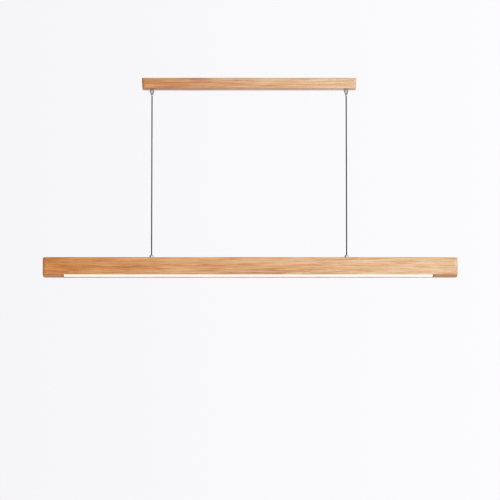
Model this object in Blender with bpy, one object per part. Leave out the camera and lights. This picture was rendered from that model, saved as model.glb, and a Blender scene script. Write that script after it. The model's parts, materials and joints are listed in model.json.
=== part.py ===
"""Linear pendant lamp: a lit wooden beam that hangs on two cables from a wooden ceiling canopy.

The ceiling is at z = 0 and everything hangs below it. X runs along the lamp, and -Y is its front.
Pieces that move are parented to an empty that stands on their joint's axis.
"""

import math

import bmesh
import bpy
from mathutils import Euler, Matrix

MM = 0.001
GAP = 0.3 * MM  # left between pieces that touch

# Canopy, the wooden box against the ceiling
CANOPY_LENGTH = 625 * MM
CANOPY_DEPTH = 40 * MM
CANOPY_HEIGHT = 30 * MM
CANOPY_CORNER = 9 * MM  # radius of the upright corners
CANOPY_ARRIS = 1.5 * MM  # radius of the lower edges
CANOPY_DRAFT = 2 * MM  # each end leans in by this much towards the bottom
CANOPY_SIDE = 5 * MM
CANOPY_END = 8 * MM
CANOPY_FLOOR = 5 * MM

# Beam, the lit bar
BEAM_LENGTH = 1200 * MM
BEAM_DEPTH = 60 * MM
BEAM_HEIGHT = 51 * MM
BEAM_CORNER = 10 * MM
BEAM_ARRIS = 2.5 * MM
BEAM_SHIFT = 3 * MM  # the beam's middle, from the canopy's middle
DROP = 500 * MM  # from the canopy's underside to the beam's top
LENS_INSETS = (61 * MM, 71 * MM)  # unlit wood at the beam's left and right end
RIM = 4 * MM  # wood left on each side of the recess
RECESS_DEPTH = 18 * MM
END_CAP = 4.4 * MM

# Cables and the swivelling grippers
CABLE_INSET = 30 * MM  # each cable's axis, from the canopy's end
CABLE_RADIUS = 1.7 * MM
CABLE_CLEARANCE = 0.2 * MM
BALL_RADIUS = 3.8 * MM
LINER_WALL = 0.5 * MM
BALL_RISE = 2.2 * MM  # the ball's centre is this far above the canopy's underside
NECK_WALL = 0.6 * MM
NECK_END = 5.6 * MM  # below the ball's centre
CONE_RADIUS = 7 * MM
CONE_TOP = 6.8 * MM
CONE_END = 19.4 * MM
CONE_END_WALL = 0.6 * MM
PLUNGER_WALL = 0.6 * MM
PLUNGER_STEP = 0.7 * MM  # the head stands out this far
PLUNGER_END = 23.4 * MM
PLUNGER_LIP = 3.5 * MM  # the gripper's end wall, which keeps the plunger in
SPRING_WIRE = 0.25 * MM
SPRING_TURNS = 4
SOCKET_WALL = 0.9 * MM
SOCKET_RIM = 1.1 * MM  # the flange stands out this far
SOCKET_FLANGE_THICKNESS = 1.2 * MM
SOCKET_TOP = 10 * MM  # above the ball's centre
THREAD_CLEARANCE = 0.3 * MM

# Ferrules that hold the beam on the cables' lower ends
FERRULE_RIM = 2.1 * MM  # the ferrule's wall outside its threaded stem
FERRULE_HEIGHT = 9.7 * MM
STOP_RADIUS = 3 * MM
STOP_RISE = 4 * MM  # the stop's centre is this far above the beam's top
STOP_CLEARANCE = 0.35 * MM
ANCHOR_WALL = 1.05 * MM
POCKET_RADIUS = 12 * MM
POCKET_HEIGHT = 7 * MM

# Light unit in the beam
CHANNEL_WALL = 1.5 * MM
LENS_RECESS = 2 * MM  # from the beam's underside up to the diffuser
LENS_THICKNESS = 2 * MM
LENS_LEG = 4 * MM
LENS_LEG_WALL = 1.2 * MM
STRIP_WIDTH = 10 * MM
STRIP_THICKNESS = 1 * MM
STRIP_OFFSET = 9.5 * MM  # each strip's middle, from the beam's middle
STRIP_END = 9 * MM  # the strip stops this far from the lit length's end
CHIP_COUNT = 18
CHIP_SIDE = 3.5 * MM
CHIP_HEIGHT = 0.8 * MM
JUNCTION = (14 * MM, 7.6 * MM, 5 * MM)
CHANNEL_SCREWS = 4
CHANNEL_SCREW_INSET = 84 * MM  # the outermost screws, from the lit length's ends
SCREW_RADIUS = 1.7 * MM
SCREW_DEPTH = 14 * MM
SCREW_HEAD_RADIUS = 3.3 * MM
SCREW_HEAD = 2 * MM

# Fittings inside the canopy
BRACKET_THICKNESS = 1.5 * MM
BRACKET_CLEARANCE = 3 * MM  # to the canopy's front and back wall
BRACKET_TAB = 18 * MM
BRACKET_SLOT = (24 * MM, 5 * MM)  # for the ceiling screws
BRACKET_SLOT_X = 215 * MM
MAINS_HOLE_RADIUS = 8 * MM
DRIVER_LENGTH = 160 * MM
DRIVER_CLEARANCE = 2 * MM  # to the canopy's front and back wall
DRIVER_OVER_FLOOR = 4.4 * MM
DRIVER_TO_HANK = 14.5 * MM
DRIVER_LID = 2.5 * MM
DRIVER_WALL = 1.8 * MM
TERMINAL = (30 * MM, 18 * MM, 12 * MM)
TERMINAL_TO_HANK = 71.5 * MM
TERMINAL_HOLE = 1.9 * MM
TERMINAL_WELL = 1.5 * MM
LEAD_RADIUS = 1.1 * MM
MAINS_LEAD_TO_WALL = 4 * MM
LEAD_SWERVE = 24 * MM  # the mains leads have drawn apart after this length
CORE_RADIUS = 0.9 * MM
HANK_LENGTH = 60 * MM
HANK_CLEARANCE = 2.5 * MM  # to the canopy's front and back wall
HANK_BAND = 6 * MM
HANK_HEIGHT = 9 * MM
HANK_DEPTH = 9 * MM  # the hank's middle, under the bracket
HANK_TO_CABLE = 18 * MM  # from the cable's axis to the hank's end
FEED_STRAIGHT = 5 * MM  # the cable rises this far out of the ball before it bends
TIE_WIDTH = 4 * MM
TIE_THICKNESS = 1 * MM
END_SCREW_RADIUS = 1.5 * MM
END_SCREW_LENGTH = 11 * MM
END_SCREW_HEAD_RADIUS = 3 * MM
END_SCREW_HEAD = 2 * MM
END_SCREW_Z = -12 * MM

# Heights and places that follow from those sizes
UNDERSIDE_Z = -CANOPY_HEIGHT
FLOOR_Z = UNDERSIDE_Z + CANOPY_FLOOR
SWIVEL_Z = UNDERSIDE_Z + BALL_RISE
MOUTH_Z = SWIVEL_Z - PLUNGER_END
BEAM_TOP_Z = UNDERSIDE_Z - DROP
BEAM_BOTTOM_Z = BEAM_TOP_Z - BEAM_HEIGHT
STOP_Z = BEAM_TOP_Z + STOP_RISE
RECESS_Z = BEAM_BOTTOM_Z + RECESS_DEPTH
LENS_X = BEAM_SHIFT + (LENS_INSETS[0] - LENS_INSETS[1]) / 2
LENS_LENGTH = BEAM_LENGTH - LENS_INSETS[0] - LENS_INSETS[1]
LENS_WIDTH = BEAM_DEPTH - 2 * RIM - 2 * GAP
CABLE_X = CANOPY_LENGTH / 2 - CABLE_INSET
CABLE_BORE = CABLE_RADIUS + CABLE_CLEARANCE
NECK_RADIUS = CABLE_BORE + NECK_WALL
PLUNGER_RADIUS = CABLE_BORE + PLUNGER_WALL
PLUNGER_HEAD = PLUNGER_RADIUS + PLUNGER_STEP
CONE_END_RADIUS = PLUNGER_RADIUS + CABLE_CLEARANCE + CONE_END_WALL
SPRING_RADIUS = (CABLE_BORE + PLUNGER_HEAD + CABLE_CLEARANCE) / 2
LINER_OUTER = BALL_RADIUS + GAP + LINER_WALL
SOCKET_BORE = LINER_OUTER + GAP
SOCKET_RADIUS = SOCKET_BORE + SOCKET_WALL
SOCKET_HOLE = SOCKET_RADIUS + THREAD_CLEARANCE
SOCKET_FLANGE = SOCKET_RADIUS + SOCKET_RIM
ANCHOR_BORE = STOP_RADIUS + STOP_CLEARANCE
ANCHOR_RADIUS = ANCHOR_BORE + ANCHOR_WALL
FERRULE_RADIUS = ANCHOR_RADIUS + FERRULE_RIM
INNER_DEPTH = CANOPY_DEPTH - 2 * CANOPY_SIDE
BRACKET_WIDTH = INNER_DEPTH - 2 * BRACKET_CLEARANCE
HANK_Z = -BRACKET_THICKNESS - HANK_DEPTH
HANK_WIDTH = INNER_DEPTH - 2 * HANK_CLEARANCE
HANK_START = CABLE_X - HANK_TO_CABLE - HANK_LENGTH
DRIVER_TOP = -BRACKET_THICKNESS - GAP
TRAY_TOP = DRIVER_TOP - DRIVER_LID - GAP
DRIVER_DEPTH = INNER_DEPTH - 2 * DRIVER_CLEARANCE
DRIVER_HEIGHT = TRAY_TOP - FLOOR_Z - DRIVER_OVER_FLOOR
DRIVER_X = DRIVER_TO_HANK + DRIVER_LENGTH / 2 - HANK_START
DRIVER_END = DRIVER_X + DRIVER_LENGTH / 2
TERMINAL_X = HANK_START - TERMINAL_TO_HANK - TERMINAL[0] / 2
TERMINAL_START = TERMINAL_X - TERMINAL[0] / 2
MAINS_HOLE_X = (DRIVER_END + TERMINAL_START) / 2
MAINS_LEAD_Y = INNER_DEPTH / 2 - MAINS_LEAD_TO_WALL
SIDES = (("left", -1), ("right", 1))
NO_TURN = (0, 0, 0)
QUARTER = math.radians(90)

COLOURS = {  # base colour, metallic, roughness
    "oak": ((0.62, 0.35, 0.15), 0.0, 0.45),
    "oak_edge": ((0.50, 0.28, 0.08), 0.0, 0.5),
    "chrome": ((0.80, 0.80, 0.82), 1.0, 0.08),
    "zinc_steel": ((0.60, 0.61, 0.63), 1.0, 0.35),
    "spring_steel": ((0.45, 0.45, 0.47), 1.0, 0.30),
    "brass": ((0.80, 0.60, 0.30), 1.0, 0.30),
    "aluminium": ((0.75, 0.76, 0.78), 1.0, 0.40),
    "cable_sheath": ((0.06, 0.06, 0.065), 0.0, 0.50),
    "white_lead": ((0.80, 0.80, 0.80), 0.0, 0.45),
    "brown_lead": ((0.16, 0.07, 0.03), 0.0, 0.45),
    "blue_lead": ((0.05, 0.14, 0.40), 0.0, 0.45),
    "opal": ((0.95, 0.95, 0.93), 0.0, 0.35),
    "white_board": ((0.85, 0.86, 0.82), 0.0, 0.40),
    "white_plastic": ((0.80, 0.80, 0.78), 0.0, 0.45),
    "grey_plastic": ((0.42, 0.43, 0.44), 0.0, 0.50),
    "black_plastic": ((0.03, 0.03, 0.03), 0.0, 0.50),
}


# ---- scene helpers ----


def clear_scene():
    for obj in list(bpy.data.objects):
        bpy.data.objects.remove(obj, do_unlink=True)


def material(name):
    found = bpy.data.materials.get(name)
    if found:
        return found
    colour, metallic, roughness = COLOURS[name]
    made = bpy.data.materials.new(name)
    made.use_nodes = True
    shader = made.node_tree.nodes["Principled BSDF"]
    shader.inputs["Base Color"].default_value = (*colour, 1)
    shader.inputs["Metallic"].default_value = metallic
    shader.inputs["Roughness"].default_value = roughness
    return made


def empty(name, place, parent=None):
    """An empty on a joint's axis. Empties are never turned, so a child's place is a difference."""
    obj = bpy.data.objects.new(name, None)
    obj.empty_display_size = 10 * MM
    bpy.context.scene.collection.objects.link(obj)
    put(obj, place, parent)
    return obj


def world_place(obj):
    x, y, z = obj.location
    if obj.parent:
        px, py, pz = world_place(obj.parent)
        return (x + px, y + py, z + pz)
    return (x, y, z)


def put(obj, place, parent):
    px, py, pz = world_place(parent) if parent else (0, 0, 0)
    obj.parent = parent
    obj.location = (place[0] - px, place[1] - py, place[2] - pz)


def finish_mesh(name, bm, colour, place=(0, 0, 0), parent=None, sharp=35):
    bmesh.ops.recalc_face_normals(bm, faces=bm.faces)
    mesh = bpy.data.meshes.new(name)
    bm.to_mesh(mesh)
    bm.free()
    mesh.shade_smooth()
    mesh.set_sharp_from_angle(angle=math.radians(sharp))
    mesh.materials.append(material(colour))
    obj = bpy.data.objects.new(name, mesh)
    bpy.context.scene.collection.objects.link(obj)
    put(obj, place, parent)
    return obj


# ---- shapes ----


def loft(rings):
    """A closed body through rings of equally many points; both ends are capped."""
    bm = bmesh.new()
    made = [[bm.verts.new(p) for p in ring] for ring in rings]
    for low, high in zip(made, made[1:]):
        for i in range(len(low)):
            j = (i + 1) % len(low)
            bm.faces.new((low[i], low[j], high[j], high[i]))
    bm.faces.new(list(reversed(made[0])))
    bm.faces.new(made[-1])
    return bm


def rounded_outline(length, depth, radius, z, steps=6):
    """The points of a rectangle with round corners, anticlockwise seen from above."""
    points = []
    for cx, cy, start in ((1, 1, 0), (-1, 1, 90), (-1, -1, 180), (1, -1, 270)):
        for k in range(steps + 1):
            angle = math.radians(start + 90 * k / steps)
            x = cx * (length / 2 - radius) + radius * math.cos(angle)
            y = cy * (depth / 2 - radius) + radius * math.sin(angle)
            points.append((x, y, z))
    return points


def box(length, depth, height, bevel=0.0):
    """A block with its middle at the origin."""
    bm = bmesh.new()
    bmesh.ops.create_cube(bm, size=1)
    bmesh.ops.scale(bm, vec=(length, depth, height), verts=bm.verts)
    if bevel:
        bmesh.ops.bevel(
            bm, geom=bm.edges[:], offset=bevel, segments=2, profile=0.5, affect="EDGES"
        )
    return bm


def extruded(outline, length):
    """A (y, z) outline drawn along X, with its middle at x = 0."""
    return loft([[(x, y, z) for y, z in outline] for x in (-length / 2, length / 2)])


def turned(profile, segments=20):
    """A body turned round Z from a closed (radius, z) outline. Points on the axis become one."""
    bm = bmesh.new()
    rings = []
    for r, z in profile:
        if r < 1e-7:
            rings.append([bm.verts.new((0, 0, z))])
            continue
        ring = []
        for k in range(segments):
            angle = 2 * math.pi * (k + 0.5) / segments
            ring.append(bm.verts.new((r * math.cos(angle), r * math.sin(angle), z)))
        rings.append(ring)
    for i, low in enumerate(rings):
        high = rings[(i + 1) % len(rings)]
        if len(low) == 1 and len(high) == 1:
            continue
        for k in range(segments):
            n = (k + 1) % segments
            corners = [low[k % len(low)], low[n % len(low)], high[n % len(high)]]
            corners.append(high[k % len(high)])
            bm.faces.new(list(dict.fromkeys(corners)))
    return bm


def ring(inner, outer, low, high, segments=20):
    return turned([(inner, low), (outer, low), (outer, high), (inner, high)], segments)


def rod(radius, low, high, segments=16):
    return turned([(0, low), (radius, low), (radius, high), (0, high)], segments)


def stepped_rod(first, second, low, step, high, segments=16):
    """A rod of the first radius up to the step and of the second above it."""
    profile = [(0, low), (first, low), (first, step), (second, step), (second, high), (0, high)]
    return turned(profile, segments)


def hex_nut(across_flats, bore, low, high, segments=12):
    """A hexagonal nut whose bore has as many points as its rim."""
    bm = bmesh.new()
    half = across_flats / 2
    loops = []
    for z in (low, high):
        for outer in (True, False):
            points = []
            for k in range(segments):
                angle = 2 * math.pi * k / segments
                off_flat = (angle + math.pi / 6) % (math.pi / 3) - math.pi / 6
                r = half / math.cos(off_flat) if outer else bore
                points.append(bm.verts.new((r * math.cos(angle), r * math.sin(angle), z)))
            loops.append(points)
    low_out, low_in, high_out, high_in = loops
    for k in range(segments):
        n = (k + 1) % segments
        for a, b in ((low_out, high_out), (high_out, high_in), (high_in, low_in), (low_in, low_out)):
            bm.faces.new((a[k], a[n], b[n], b[k]))
    return bm


def arc(radius, start, end, steps, centre=0.0):
    """(radius, z) points on a circle about (0, centre), by angles in degrees from straight down."""
    points = []
    for k in range(steps + 1):
        angle = math.radians(start + (end - start) * k / steps)
        points.append((radius * math.sin(angle), centre - radius * math.cos(angle)))
    return points


def smooth_route(points, steps=6):
    """A smooth curve through the points (Catmull-Rom)."""
    ends = [points[0], *points, points[-1]]
    route = []
    for a, b, c, d in zip(ends, ends[1:], ends[2:], ends[3:]):
        for k in range(steps):
            t = k / steps
            place = []
            for pa, pb, pc, pd in zip(a, b, c, d):
                bend = (2 * pa - 5 * pb + 4 * pc - pd) * t * t
                curl = (3 * pb - pa - 3 * pc + pd) * t * t * t
                place.append(0.5 * (2 * pb + (pc - pa) * t + bend + curl))
            route.append(tuple(place))
    route.append(points[-1])
    return route


def tube(name, route, radius, colour, parent=None, resolution=2):
    """A round lead or cable along a route given in world coordinates."""
    curve = bpy.data.curves.new(name, "CURVE")
    curve.dimensions = "3D"
    curve.bevel_depth = radius
    curve.bevel_resolution = resolution
    curve.use_fill_caps = True
    spline = curve.splines.new("POLY")
    spline.points.add(len(route) - 1)
    start = route[0]
    for point, place in zip(spline.points, route):
        point.co = (*(place[k] - start[k] for k in range(3)), 1)
    curve.materials.append(material(colour))
    obj = bpy.data.objects.new(name, curve)
    bpy.context.scene.collection.objects.link(obj)
    put(obj, start, parent)
    return obj


def helix(radius, wire, low, high, turns, around=12, sides=5):
    """A closed coil spring. Its ends lie flat inside low and high."""
    bm = bmesh.new()
    count = turns * around
    rings = []
    for k in range(count + 1):
        angle = 2 * math.pi * k / around
        z = low + wire + (high - low - 2 * wire) * k / count
        made = []
        for s in range(sides):
            turn = 2 * math.pi * s / sides
            r = radius + wire * math.cos(turn)
            place = (r * math.cos(angle), r * math.sin(angle), z + wire * math.sin(turn))
            made.append(bm.verts.new(place))
        rings.append(made)
    for a, b in zip(rings, rings[1:]):
        for s in range(sides):
            n = (s + 1) % sides
            bm.faces.new((a[s], a[n], b[n], b[s]))
    bm.faces.new(rings[0])
    bm.faces.new(list(reversed(rings[-1])))
    return bm


def cut(obj, pieces):
    """Cut separate pieces, each a mesh with its place and turn, out of an object in one go."""
    joined = bmesh.new()
    for bm, place, turn in pieces:
        bm.transform(Matrix.Translation(place) @ Euler(turn).to_matrix().to_4x4())
        mesh = bpy.data.meshes.new("cutter")
        bm.to_mesh(mesh)
        bm.free()
        joined.from_mesh(mesh)
        bpy.data.meshes.remove(mesh)
    tool = finish_mesh("cutter", joined, "oak")
    tool.hide_render = True
    tool.display_type = "WIRE"
    modifier = obj.modifiers.new("cut", "BOOLEAN")
    modifier.operation = "DIFFERENCE"
    modifier.solver = "EXACT"
    modifier.object = tool


# ---- canopy and what it holds ----


def canopy_outer(z):
    """The canopy's length at a height, with its drafted ends."""
    return CANOPY_LENGTH - 2 * CANOPY_DRAFT * (-z / CANOPY_HEIGHT)


def make_canopy_shell():
    rings = []
    inner_length = canopy_outer(UNDERSIDE_Z) - 2 * CANOPY_END
    inner_corner = CANOPY_CORNER - CANOPY_SIDE
    rings.append(rounded_outline(inner_length, INNER_DEPTH, inner_corner, FLOOR_Z))
    rings.append(rounded_outline(inner_length, INNER_DEPTH, inner_corner, 0))
    rings.append(rounded_outline(canopy_outer(0), CANOPY_DEPTH, CANOPY_CORNER, 0))
    for k in range(4):
        angle = math.radians(90 * k / 3)
        inset = CANOPY_ARRIS * (1 - math.cos(angle))
        z = UNDERSIDE_Z + CANOPY_ARRIS * (1 - math.sin(angle))
        length, depth = canopy_outer(z) - 2 * inset, CANOPY_DEPTH - 2 * inset
        rings.append(rounded_outline(length, depth, CANOPY_CORNER - inset, z))
    shell = finish_mesh("canopy_shell", loft(rings), "oak")
    holes = []
    for _, side in SIDES:
        hole = rod(SOCKET_HOLE, -CANOPY_FLOOR, CANOPY_FLOOR, 24)
        holes.append((hole, (side * CABLE_X, 0, UNDERSIDE_Z + CANOPY_FLOOR / 2), NO_TURN))
        shank, head = END_SCREW_RADIUS + THREAD_CLEARANCE, END_SCREW_HEAD_RADIUS + GAP
        step = -END_SCREW_HEAD - GAP
        well = stepped_rod(shank, head, -2 * CANOPY_END, step, 4 * END_SCREW_HEAD)
        holes.append((well, end_screw_place(side), (0, side * QUARTER, 0)))
    cut(shell, holes)
    return shell


def end_screw_place(side):
    """The middle of a canopy end screw's outer face."""
    return (side * (canopy_outer(END_SCREW_Z) / 2 - GAP), 0, END_SCREW_Z)


def bracket_end():
    """Half the bracket's length over its folded tabs."""
    return canopy_outer(UNDERSIDE_Z) / 2 - CANOPY_END - 0.7 * MM


def make_bracket():
    end = bracket_end()
    thick = BRACKET_THICKNESS
    profile = [(-end, -BRACKET_TAB), (-end, 0), (end, 0), (end, -BRACKET_TAB)]
    profile += [(end - thick, -BRACKET_TAB), (end - thick, -thick)]
    profile += [(-end + thick, -thick), (-end + thick, -BRACKET_TAB)]
    half = BRACKET_WIDTH / 2
    bm = loft([[(x, y, z) for x, z in profile] for y in (half, -half)])
    bracket = finish_mesh("ceiling_bracket", bm, "zinc_steel")
    holes = [(rod(MAINS_HOLE_RADIUS, -5 * MM, 5 * MM, 24), (MAINS_HOLE_X, 0, 0), NO_TURN)]
    for _, side in SIDES:
        length, width = BRACKET_SLOT
        slot = loft([rounded_outline(length, width, width / 2.01, z) for z in (-5 * MM, 5 * MM)])
        holes.append((slot, (side * BRACKET_SLOT_X, 0, 0), NO_TURN))
        hole = rod(END_SCREW_RADIUS + THREAD_CLEARANCE, -5 * MM, 5 * MM)
        holes.append((hole, (side * end, 0, END_SCREW_Z), (0, QUARTER, 0)))
    cut(bracket, holes)
    return bracket


def make_end_screws():
    for name, side in SIDES:
        head, r = END_SCREW_HEAD, END_SCREW_HEAD_RADIUS
        profile = [(0, -head - END_SCREW_LENGTH), (END_SCREW_RADIUS, -head - END_SCREW_LENGTH)]
        profile += [(END_SCREW_RADIUS, -head), (r, -head), (r, -0.5 * MM), (r - 0.5 * MM, 0)]
        profile += [(0, 0)]
        bm = turned(profile)
        screw = finish_mesh(f"{name}_canopy_screw", bm, "chrome", end_screw_place(side))
        screw.rotation_euler = (0, side * QUARTER, 0)


def make_driver():
    length, depth, height, wall = DRIVER_LENGTH, DRIVER_DEPTH, DRIVER_HEIGHT, DRIVER_WALL
    lid = box(length, depth, DRIVER_LID, 0.6 * MM)
    finish_mesh("driver_lid", lid, "white_plastic", (DRIVER_X, 0, DRIVER_TOP - DRIVER_LID / 2))
    middle = TRAY_TOP - height / 2
    outer = box(length, depth, height, 0.8 * MM)
    case = finish_mesh("driver_case", outer, "white_plastic", (DRIVER_X, 0, middle))
    hollow = box(length - 2 * wall, depth - 2 * wall, height)
    cut(case, [(hollow, (DRIVER_X, 0, middle + wall), NO_TURN)])


def make_terminal_block():
    length, depth, height = TERMINAL
    z = DRIVER_TOP - height / 2
    bm = box(length, depth, height, 0.8 * MM)
    block = finish_mesh("terminal_block", bm, "white_plastic", (TERMINAL_X, 0, z))
    wires = []
    wells = []
    for pole in (-1, 1):
        place = (TERMINAL_X, pole * depth / 4, z)
        wires.append((rod(TERMINAL_HOLE, -length, length), place, (0, QUARTER, 0)))
        wells.append((rod(TERMINAL_WELL, -height, 0), place, NO_TURN))
    cut(block, wires)
    cut(block, wells)


def make_canopy_leads():
    case_z = TRAY_TOP + GAP - DRIVER_HEIGHT / 2
    block_z = DRIVER_TOP - TERMINAL[2] / 2
    swerve = min(LEAD_SWERVE, 0.4 * (TERMINAL_START - DRIVER_END))
    for name, y_side, colour in (("live", -1, "brown_lead"), ("neutral", 1, "blue_lead")):
        near = y_side * TERMINAL[1] / 4
        far = y_side * MAINS_LEAD_Y
        points = [(DRIVER_END + GAP, near, case_z)]
        points += [(DRIVER_END + swerve / 3, near, case_z), (DRIVER_END + swerve, far, case_z)]
        points += [(TERMINAL_START - swerve, far, case_z)]
        points += [(TERMINAL_START - swerve / 3, near, block_z)]
        points += [(TERMINAL_START + 6 * MM, near, block_z)]
        tube(f"mains_lead_{name}", smooth_route(points), LEAD_RADIUS, colour)
    low = FLOOR_Z + LEAD_RADIUS + 2.4 * MM
    points = [(DRIVER_END + GAP, 0, case_z), (DRIVER_END + 6 * MM, 0, case_z)]
    points += [(DRIVER_END + 20 * MM, 0, low), (DRIVER_END + 60 * MM, 0, low)]
    points += [(HANK_START - 60 * MM, 0, low), (HANK_START - 24 * MM, 0, low)]
    points += [(HANK_START - 8 * MM, 0, HANK_Z), (HANK_START - GAP, 0, HANK_Z)]
    tube("output_lead_right", smooth_route(points), LEAD_RADIUS, "white_lead")
    points = [(DRIVER_END - DRIVER_LENGTH - GAP, 0, case_z), (-HANK_START + GAP, 0, HANK_Z)]
    tube("output_lead_left", points, LEAD_RADIUS, "white_lead")


def make_spare_cable(name, side):
    """The cable's unused length, folded in an oblong hank, with its tie and the bend that feeds it."""
    middle = side * (CABLE_X - HANK_TO_CABLE - HANK_LENGTH / 2)
    half = HANK_HEIGHT / 2
    rings = []
    for inset, z in ((HANK_BAND, half), (HANK_BAND, -half), (0, -half), (0, half)):
        length, width = HANK_LENGTH - 2 * inset, HANK_WIDTH - 2 * inset
        rings.append(rounded_outline(length, width, width / 2.01, z))
    bm = bmesh.new()
    made = [[bm.verts.new(p) for p in points] for points in rings]
    for low, high in zip(made, made[1:] + made[:1]):
        for i in range(len(low)):
            j = (i + 1) % len(low)
            bm.faces.new((low[i], low[j], high[j], high[i]))
    rims = [e for e in bm.edges if e.is_manifold and e.calc_face_angle(0) > 1]
    bmesh.ops.bevel(bm, geom=rims, offset=1.4 * MM, segments=2, profile=0.5, affect="EDGES")
    finish_mesh(f"{name}_spare_cable", bm, "cable_sheath", (middle, 0, HANK_Z))
    around = 2 * (TIE_THICKNESS + GAP)
    outside = box(TIE_WIDTH, HANK_WIDTH + around, HANK_HEIGHT + around, 0.4 * MM)
    tie = finish_mesh(f"{name}_cable_tie", outside, "black_plastic", (middle, 0, HANK_Z))
    inside = box(2 * TIE_WIDTH, HANK_WIDTH + 2 * GAP, HANK_HEIGHT + 2 * GAP)
    cut(tie, [(inside, (middle, 0, HANK_Z), NO_TURN)])
    start = SWIVEL_Z + BALL_RADIUS + 0.5 * MM
    bend = HANK_Z - start - FEED_STRAIGHT
    route = [(side * CABLE_X, 0, start)]
    for k in range(7):
        angle = math.radians(90 * k / 6)
        x = CABLE_X - bend + bend * math.cos(angle)
        route.append((side * x, 0, HANK_Z - bend + bend * math.sin(angle)))
    route.append((side * (CABLE_X - HANK_TO_CABLE + GAP), 0, HANK_Z))
    tube(f"{name}_cable_feed", route, CABLE_RADIUS, "cable_sheath")


# ---- grippers ----


def make_socket(name, side):
    """The threaded bush in the canopy's floor, with the plug, washer and nut that hold the ball."""
    place = (side * CABLE_X, 0, SWIVEL_Z)
    under = -BALL_RISE - GAP
    flange_low = under - SOCKET_FLANGE_THICKNESS
    seat = arc(SOCKET_BORE, 90, 52, 3)
    profile = [(SOCKET_BORE, SOCKET_TOP), *seat, (seat[-1][0] + 0.3 * MM, flange_low)]
    profile += [(SOCKET_FLANGE - 0.3 * MM, flange_low), (SOCKET_FLANGE, flange_low + 0.3 * MM)]
    profile += [(SOCKET_FLANGE, under), (SOCKET_RADIUS, under), (SOCKET_RADIUS, SOCKET_TOP)]
    finish_mesh(f"{name}_swivel_socket", turned(profile, 24), "chrome", place)
    plug_low = BALL_RADIUS + GAP
    plug = ring(CABLE_BORE, SOCKET_BORE - CABLE_CLEARANCE, plug_low, plug_low + 4 * MM)
    finish_mesh(f"{name}_socket_plug", plug, "zinc_steel", place)
    floor = FLOOR_Z - SWIVEL_Z + GAP
    washer = ring(SOCKET_HOLE, SOCKET_HOLE + 3.4 * MM, floor, floor + 1.2 * MM, 24)
    finish_mesh(f"{name}_socket_washer", washer, "zinc_steel", place)
    nut_low = floor + 1.2 * MM + GAP
    nut = hex_nut(2 * SOCKET_RADIUS + 5 * MM, SOCKET_HOLE, nut_low, nut_low + 4.2 * MM)
    finish_mesh(f"{name}_socket_nut", nut, "zinc_steel", place)


def make_liner(name, side, swivel):
    """The split bearing between ball and socket: it tips to front and back, the ball in it sideways."""
    profile = arc(LINER_OUTER, 50, 120, 4) + arc(BALL_RADIUS + GAP, 120, 50, 4)
    place = (side * CABLE_X, 0, SWIVEL_Z)
    finish_mesh(f"{name}_swivel_liner", turned(profile, 20), "grey_plastic", place, swivel)


def make_gripper(name, side, swivel):
    """The swivelling cone, the plunger that releases the cable, its spring and the cable in them."""
    place = (side * CABLE_X, 0, SWIVEL_Z)
    top_angle = 180 - math.degrees(math.asin(CABLE_BORE / BALL_RADIUS))
    neck_angle = math.degrees(math.asin(NECK_RADIUS / BALL_RADIUS))
    lip_bore = PLUNGER_RADIUS + CABLE_CLEARANCE
    cavity = PLUNGER_HEAD + CABLE_CLEARANCE
    lip_top = -CONE_END + PLUNGER_LIP
    roof = -CONE_TOP - 1.3 * MM
    profile = arc(BALL_RADIUS, top_angle, neck_angle, 6)
    profile += [(NECK_RADIUS, -NECK_END), (CONE_RADIUS - 2 * MM, -NECK_END)]
    profile += [(CONE_RADIUS - 0.4 * MM, -CONE_TOP + 0.4 * MM), (CONE_RADIUS, -CONE_TOP)]
    profile += [(CONE_END_RADIUS, -CONE_END + 0.4 * MM), (CONE_END_RADIUS - 0.2 * MM, -CONE_END)]
    profile += [(lip_bore, -CONE_END), (lip_bore, lip_top), (cavity, lip_top)]
    profile += [(cavity, roof), (CABLE_BORE, roof)]
    finish_mesh(f"{name}_gripper", turned(profile, 24), "chrome", place, swivel)

    head_low = lip_top + GAP
    head_top = head_low + 1 * MM
    profile = [(CABLE_BORE, head_top), (PLUNGER_HEAD, head_top), (PLUNGER_HEAD, head_low)]
    profile += [(PLUNGER_RADIUS, head_low), (PLUNGER_RADIUS, -PLUNGER_END + 0.4 * MM)]
    profile += [(PLUNGER_RADIUS - 0.3 * MM, -PLUNGER_END), (CABLE_BORE, -PLUNGER_END)]
    finish_mesh(f"{name}_plunger", turned(profile, 20), "chrome", place, swivel)

    coil = helix(SPRING_RADIUS, SPRING_WIRE, head_top + GAP, roof - GAP, SPRING_TURNS)
    finish_mesh(f"{name}_spring", coil, "spring_steel", place, swivel, 60)
    inside = rod(CABLE_RADIUS, -PLUNGER_END + GAP, BALL_RADIUS - 0.7 * MM)
    finish_mesh(f"{name}_gripped_cable", inside, "cable_sheath", place, swivel)


# ---- cables ----


def make_cable(name, side, swivel):
    """The visible drop and the stop on its lower end; returns the stop."""
    drop = rod(CABLE_RADIUS, STOP_Z + STOP_RADIUS + GAP - MOUTH_Z, -GAP, 12)
    place = (side * CABLE_X, 0, MOUTH_Z)
    cable = finish_mesh(f"{name}_cable", drop, "cable_sheath", place, swivel)
    ball = turned(arc(STOP_RADIUS, 0, 180, 6), 14)
    place = (side * CABLE_X, 0, STOP_Z)
    return finish_mesh(f"{name}_cable_stop", ball, "brass", place, cable)


# ---- beam and what it holds ----


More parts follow.
